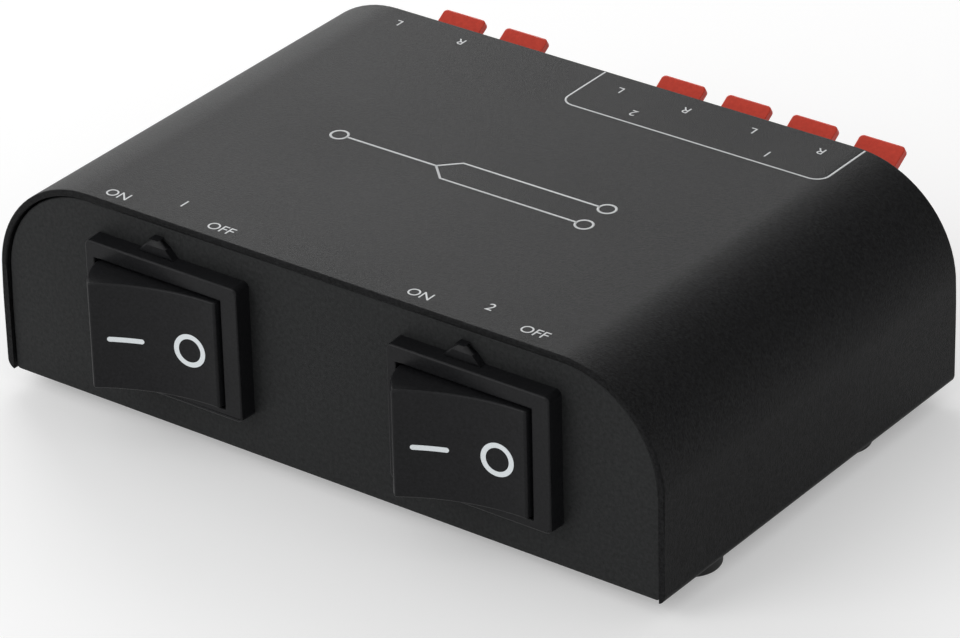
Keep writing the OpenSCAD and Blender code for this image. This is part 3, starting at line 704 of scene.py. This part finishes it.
# %% [markdown]
# ### Turned shapes
# A foot and a screw are turned about an axis. Spinning half an outline round it makes the solid, and
# merging the doubles on the axis closes its poles. The screw's cross recess is then cut with a Boolean.


# %% Turning
def turned(name, outline, steps, material):
    """A closed solid from points of (radius, height), spun round the Z axis."""
    work = bmesh.new()
    verts = [work.verts.new((r, 0, z)) for r, z in outline]
    edges = [work.edges.new(pair) for pair in zip(verts, verts[1:])]
    bmesh.ops.spin(
        work,
        geom=verts + edges,
        cent=(0, 0, 0),
        axis=(0, 0, 1),
        angle=math.tau,
        steps=steps,
        use_duplicate=False,
    )
    bmesh.ops.remove_doubles(work, verts=work.verts, dist=MERGE)
    bmesh.ops.recalc_face_normals(work, faces=work.faces)
    return new_piece(name, work, material)


def arc(centre, radius, start, end, steps=5):
    """Points on an arc, from one angle to another in degrees."""
    angles = [math.radians(start + (end - start) * i / steps) for i in range(steps + 1)]
    return [(centre[0] + radius * math.cos(a), centre[1] + radius * math.sin(a)) for a in angles]


# %% Feet
FOOT_ROUND = 0.6 * MM
FOOT_LIP = 0.3 * MM
RECESS_R = 3.3 * MM
RECESS = 1.6 * MM
FOOT_STEPS = 48


def foot_outline(radius, height):
    """Half a foot, from its top round to the floor of the screw's recess."""
    return [
        (0, height),
        (radius, height),
        *arc((radius - FOOT_ROUND, FOOT_ROUND), FOOT_ROUND, 0, -90),
        *arc((RECESS_R + FOOT_LIP, FOOT_LIP), FOOT_LIP, 270, 180, 3),
        (RECESS_R, RECESS),
        (0, RECESS),
    ]


low, high = foot_boxes[0]
foot = turned("foot", foot_outline((high.x - low.x) / 2, high.z - low.z), FOOT_STEPS, foot_rubber)
foot_points = [((lo.x + hi.x) / 2, (lo.y + hi.y) / 2, lo.z) for lo, hi in foot_boxes]
copies("rubber_feet", foot, foot_points, (0, 0, 0), foot_rubber, ["feet"])

# %% Screws
HEAD_R = 2.8 * MM
HEAD_H = 1.3 * MM
HEAD_ROUND = 0.2 * MM
CROWN = 0.45 * MM
CROWN_DROP = 0.1 * MM
CROWN_SHARE = 0.96
THREAD_R = 1.45 * MM
TIP_IN, TIP_LONG = 0.3 * MM, 0.4 * MM
SCREW_STEPS = 40
CROSS_HALF = 1.7 * MM
CROSS_WIDE = 0.65 * MM
CROSS_DEEP = 0.75 * MM


def screw_outline(length):
    """Half a pan-head screw: crowned head above z = 0, thread below it."""
    crown_r = (HEAD_R**2 + CROWN**2) / (2 * CROWN)
    crown_edge = math.degrees(math.asin(HEAD_R / crown_r))
    return [
        (0, -length),
        (THREAD_R - TIP_IN, -length),
        (THREAD_R, -length + TIP_LONG),
        (THREAD_R, 0),
        (HEAD_R - HEAD_ROUND, 0),
        (HEAD_R, HEAD_ROUND),
        (HEAD_R, HEAD_H - CROWN - CROWN_DROP),
        *arc((0, HEAD_H - crown_r), crown_r, 90 - crown_edge * CROWN_SHARE, 90, 8),
    ]


def cut_cross(screw):
    """Cuts a cross recess into a screw's head."""
    work = bmesh.new()
    for x, y in ((CROSS_HALF, CROSS_WIDE / 2), (CROSS_WIDE / 2, CROSS_HALF)):
        size = Matrix.Diagonal((2 * x, 2 * y, 2 * CROSS_DEEP, 1))
        bmesh.ops.create_cube(work, size=1, matrix=Matrix.Translation((0, 0, HEAD_H)) @ size)
    cutter = new_piece("cutter", work, zinc)
    cut = screw.modifiers.new("cross", "BOOLEAN")
    cut.operation = "DIFFERENCE"
    cut.solver = "EXACT"
    cut.use_self = True
    cut.object = cutter
    settle(screw)
    bpy.data.objects.remove(cutter)
    return screw


low, high = foot_screw_boxes[0]
long_outline = screw_outline(high.z - low.z - HEAD_H)
long_screw = cut_cross(turned("long_screw", long_outline, SCREW_STEPS, zinc))
under = [((lo.x + hi.x) / 2, (lo.y + hi.y) / 2, lo.z + HEAD_H) for lo, hi in foot_screw_boxes]
copies("cover_screws", long_screw, under, (math.pi, 0, 0), zinc, ["foot_screws"])

low, high = ear_screw_boxes[0]
short_outline = screw_outline(high.y - low.y - HEAD_H)
short_screw = cut_cross(turned("short_screw", short_outline, SCREW_STEPS, zinc))
behind = [((lo.x + hi.x) / 2, hi.y - HEAD_H, (lo.z + hi.z) / 2) for lo, hi in ear_screw_boxes]
copies("ear_screws", short_screw, behind, (-math.pi / 2, 0, 0), zinc, ["terminal_screws"])

# %% [markdown]
# ## Print on the cover
# Light grey ink marks the two positions of each switch and its number, read from the front. Behind
# them a line diagram shows one input that parts into two. Beside the terminals stand channel letters
# and pair numbers, read from the rear. Ink has a little thickness, so each letter is a text curve
# with a hair of extrusion, made a mesh before it is set in place. Rays from above then lower every
# point to the cover, because the ink must not stand off where the shoulder begins.

# %% Laying print on the cover
cover_faces = BVHTree.FromObject(cover, bpy.context.evaluated_depsgraph_get())


def lay_on_cover(piece):
    """Lowers flat print onto the cover, so that it follows the start of a shoulder."""
    for vert in piece.data.vertices:
        above = Vector((vert.co.x, vert.co.y, TOP + REACH))
        hit = cover_faces.ray_cast(above, Vector((0, 0, -1)))[0]
        vert.co.z += hit.z - TOP
    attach(piece, "case")


# %% Lettering
INK = 0.012 * MM
CAP_SHARE = 0.73
LETTER_STEPS = 6
FROM_REAR = math.pi


def letters(name, text, cap_height, x, y, turn=0.0):
    """Text of a cap height, centred at x from the middle and y behind the front rim."""
    curve = bpy.data.curves.new(name, "FONT")
    curve.body = text
    curve.size = cap_height / CAP_SHARE
    curve.align_x = "CENTER"
    curve.align_y = "CENTER"
    curve.extrude = INK
    curve.resolution_u = LETTER_STEPS
    words = add_object(name, curve)
    graph = bpy.context.evaluated_depsgraph_get()
    mesh = bpy.data.meshes.new_from_object(words.evaluated_get(graph))
    bpy.data.objects.remove(words)
    mesh.transform(Matrix.Translation((x, FRONT_RIM + y, TOP)) @ Matrix.Rotation(turn, 4, "Z"))
    work = bmesh.new()
    work.from_mesh(mesh)
    bmesh.ops.remove_doubles(work, verts=work.verts, dist=MERGE)
    lay_on_cover(new_piece(name, work, grey_ink))


# %% Words at the switches
SWITCH_CAPS = 2.2 * MM
# For each switch: a word, and its place from the middle and behind the front rim, in mm.
switch_print = {
    1: (("ON", -42.8, 2.9), ("1", -31.75, 6.4), ("OFF", -21.5, 3.1)),
    2: (("ON", 18.2, 3.5), ("2", 29.9, 6.3), ("OFF", 40.2, 3.7)),
}
for number, words in switch_print.items():
    for text, x, y in words:
        letters(f"switch_{number}_print_{text}", text, SWITCH_CAPS, x * MM, y * MM)
print("switch words:", sum(len(words) for words in switch_print.values()))

# %% Letters and numbers at the terminals
CHANNEL_CAPS = 2.0 * MM
CHANNEL_Y = 79.4 * MM
PAIR_Y = 73.7 * MM
columns = {
    node[: -len("_red_lever")]: (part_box(node)[0].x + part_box(node)[1].x) / 2
    for node in frame["nodes"]
    if node.endswith("_red_lever")
}
for column, x in columns.items():
    channel = "L" if column.endswith("left") else "R"
    letters(f"print_{column}", channel, CHANNEL_CAPS, x, CHANNEL_Y, FROM_REAR)
for pair in (1, 2):
    middle = (columns[f"pair_{pair}_left"] + columns[f"pair_{pair}_right"]) / 2
    letters(f"print_pair_{pair}", str(pair), CHANNEL_CAPS, middle, PAIR_Y, FROM_REAR)
print("terminal columns, mm:", {name: round(x / MM, 1) for name, x in columns.items()})

# %% [markdown]
# ### Lines of ink
# The bracket round the outputs and the line diagram are strokes of one width along a path. Geometry
# Nodes suit that: Fillet Curve rounds the path's corners, and Curve to Mesh sweeps a flat oblong along
# it. The width and the corner radius are inputs, so every stroke comes from the same tree.

# %% The stroke tree
CORNER_STEPS = 8


def stroke_tree():
    """Geometry nodes that turn the edges of a mesh into an inked line with rounded corners."""
    sizes = {"Width": "Float", "Thickness": "Float", "Corner": "Float"}
    tree, start, end = new_tree("ink_stroke", {"Path": "Geometry", **sizes, "Ink": "Material"}, "Stroke")
    nodes, links = tree.nodes, tree.links
    path = nodes.new("GeometryNodeMeshToCurve")
    corners = nodes.new("GeometryNodeFilletCurve")
    corners.mode = "POLY"
    corners.inputs["Count"].default_value = CORNER_STEPS
    oblong = nodes.new("GeometryNodeCurvePrimitiveQuadrilateral")
    sweep = nodes.new("GeometryNodeCurveToMesh")
    sweep.inputs["Fill Caps"].default_value = True
    links.new(start.outputs["Path"], path.inputs["Mesh"])
    links.new(path.outputs["Curve"], corners.inputs["Curve"])
    links.new(start.outputs["Corner"], corners.inputs["Radius"])
    links.new(start.outputs["Width"], oblong.inputs["Width"])
    links.new(start.outputs["Thickness"], oblong.inputs["Height"])
    links.new(corners.outputs["Curve"], sweep.inputs["Curve"])
    links.new(oblong.outputs["Curve"], sweep.inputs["Profile Curve"])
    end_tree(tree, sweep.outputs["Mesh"], start.outputs["Ink"], end.inputs["Stroke"])
    return tree


ink_stroke = stroke_tree()


def stroke(name, points, width, corner=0.0, closed=False):
    """A line of ink through points of (x from the middle, y behind the front rim)."""
    mesh = bpy.data.meshes.new(name)
    edges = [(i, i + 1) for i in range(len(points) - 1)]
    if closed:
        edges.append((len(points) - 1, 0))
    mesh.from_pydata([(x, FRONT_RIM + y, TOP) for x, y in points], edges, [])
    values = {"Width": width, "Thickness": 2 * INK, "Corner": corner, "Ink": grey_ink}
    lay_on_cover(run_tree(add_object(name, mesh), ink_stroke, values))


# %% Bracket
BRACKET_STROKE = 0.34 * MM
BRACKET_LEFT, BRACKET_RIGHT = -2.9 * MM, 49.2 * MM
BRACKET_FRONT = 70.3 * MM
BRACKET_R = 2.5 * MM
RIM_CLEAR = 0.4 * MM
rear_edge = REAR_RIM - FRONT_RIM - RIM_CLEAR
bracket = [
    (BRACKET_LEFT, rear_edge),
    (BRACKET_LEFT, BRACKET_FRONT),
    (BRACKET_RIGHT, BRACKET_FRONT),
    (BRACKET_RIGHT, rear_edge),
]
stroke("print_bracket", bracket, BRACKET_STROKE, corner=BRACKET_R)

# %% Line diagram
DIAGRAM_Y = 40 * MM
DIAGRAM_HALF = 26 * MM
FORK_X = -6 * MM
FORK_GAP = 3.2 * MM
NODE_R = 1.5 * MM
LINE = 0.42 * MM


def circle(x, y, radius, steps=40):
    """Points round a circle."""
    angles = [math.tau * i / steps for i in range(steps)]
    return [(x + radius * math.cos(a), y + radius * math.sin(a)) for a in angles]


stroke("diagram_input", [(NODE_R - DIAGRAM_HALF, DIAGRAM_Y), (FORK_X, DIAGRAM_Y)], LINE)
stroke("diagram_source", circle(-DIAGRAM_HALF, DIAGRAM_Y, NODE_R), LINE, closed=True)
for number, way in ((1, 1), (2, -1)):
    y = DIAGRAM_Y + way * FORK_GAP
    branch = [(FORK_X, DIAGRAM_Y), (FORK_X + FORK_GAP, y), (DIAGRAM_HALF - NODE_R, y)]
    stroke(f"diagram_branch_{number}", branch, LINE)
    stroke(f"diagram_end_{number}", circle(DIAGRAM_HALF, y, NODE_R), LINE, closed=True)

# %% [markdown]
# ## What is inside
# Contacts, plungers, springs, nuts and wires stay as the CAD has them, with their own finishes. They
# show only when a rocker or a lever is looked past, but they are what the object is made of.

# %% Inner finishes
inner = {
    "plungers": nylon,
    "springs": spring_steel,
    "rocking_contacts": brass,
    "blades": brass,
    "contacts": brass,
    "nuts": zinc,
}
for node, thing in frame["nodes"].items():
    if thing.hide_render:
        continue
    kind = next((k for k in inner if node.endswith(k)), None)
    material = inner[kind] if kind else wire_skins[node]
    thing.data.materials.clear()
    thing.data.materials.append(material)
print("inner nodes:", sum(not thing.hide_render for thing in frame["nodes"].values()))

# %% [markdown]
# ## Floor and light
# The object stands on white. The floor is a pale matt plane, and where the camera, a reflection or
# glass looks at it, a little of its own light lifts it to white and leaves the shadow. The world is
# treated the same way. Two broad soft lights, one from behind on the left and one from the front on
# the left, give the top its sheen and leave the right side darker. A black card stands behind on the
# right, as a photographer would hold one, so that the rounded shoulder has something dark to reflect.
# Only reflections see it: it throws no shadow and never stands in a picture.

# %% Floor
FLOOR_SIDE = 6.0
FLOOR_TONE = 0.8
FLOOR_ROUGH = 0.9
FLOOR_LIFT = 0.3


def seen_directly(tree):
    """1 for camera, mirror and glass rays, 0 for the rays that light things."""
    rays = tree.nodes.new("ShaderNodeLightPath").outputs
    either = math_node(tree, "MAXIMUM", rays["Is Camera Ray"], rays["Is Glossy Ray"])
    return math_node(tree, "MAXIMUM", either, rays["Is Transmission Ray"])


work = bmesh.new()
bmesh.ops.create_grid(work, x_segments=1, y_segments=1, size=FLOOR_SIDE / 2)
floor_white = bpy.data.materials.new("floor_white")
floor_white.use_nodes = True
floor_tree = floor_white.node_tree
floor_shader = floor_tree.nodes["Principled BSDF"]
floor_shader.inputs["Base Color"].default_value = (FLOOR_TONE, FLOOR_TONE, FLOOR_TONE, 1)
floor_shader.inputs["Roughness"].default_value = FLOOR_ROUGH
floor_shader.inputs["Specular IOR Level"].default_value = 0.0
floor_shader.inputs["Emission Color"].default_value = (1, 1, 1, 1)
lift = math_node(floor_tree, "MULTIPLY", seen_directly(floor_tree), FLOOR_LIFT)
floor_tree.links.new(lift, floor_shader.inputs["Emission Strength"])
floor = new_piece("floor", work, floor_white)

# %% World
SKY_LIGHT = 0.55
SKY_SEEN = 1.0
world = bpy.data.worlds.new("studio")
bpy.context.scene.world = world
world.use_nodes = True
sky_tree = world.node_tree
sky = sky_tree.nodes["Background"]
sky.inputs["Color"].default_value = (1, 1, 1, 1)
bright = sky_tree.nodes.new("ShaderNodeMapRange")
bright.inputs["To Min"].default_value = SKY_LIGHT
bright.inputs["To Max"].default_value = SKY_SEEN
sky_tree.links.new(seen_directly(sky_tree), bright.inputs["Value"])
sky_tree.links.new(bright.outputs[0], sky.inputs["Strength"])

# %% Lamps
LAMP_SIDE = 0.7
# For each lamp: its place, in metres, and its power in watts.
lamps = {
    "light_behind_left": ((-0.85, 0.8, 0.6), 6.8),
    "light_front_left": ((-0.5, -0.9, 0.7), 4.0),
}
for name, (place, watts) in lamps.items():
    lamp = bpy.data.lights.new(name, "AREA")
    lamp.size = LAMP_SIDE
    lamp.energy = watts
    stand = add_object(name, lamp)
    stand.location = place
    stand.rotation_euler = (Vector(place) - case_middle).to_track_quat("Z", "Y").to_euler()
print("lamps:", len(lamps))

# %% Black card
CARD_AT = (0.29, 0.56, 0.33)
CARD_LONG, CARD_WIDE = 0.74, 0.45
CARD_SLANT = (0.75, 0.0, -0.66)
work = bmesh.new()
bmesh.ops.create_grid(work, x_segments=1, y_segments=1, size=1 / 2)
facing = (Vector(CARD_AT) - case_middle).normalized()
slant = Vector(CARD_SLANT)
slant = (slant - slant.project(facing)).normalized()
axes = Matrix((slant * CARD_LONG, facing.cross(slant) * CARD_WIDE, facing)).transposed().to_4x4()
work.transform(Matrix.Translation(CARD_AT) @ axes)
card = new_piece("black_card", work, foot_rubber)
for seen_by in ("camera", "diffuse", "shadow", "transmission"):
    setattr(card, f"visible_{seen_by}", False)

# %% View
bpy.context.scene.view_settings.view_transform = "Standard"
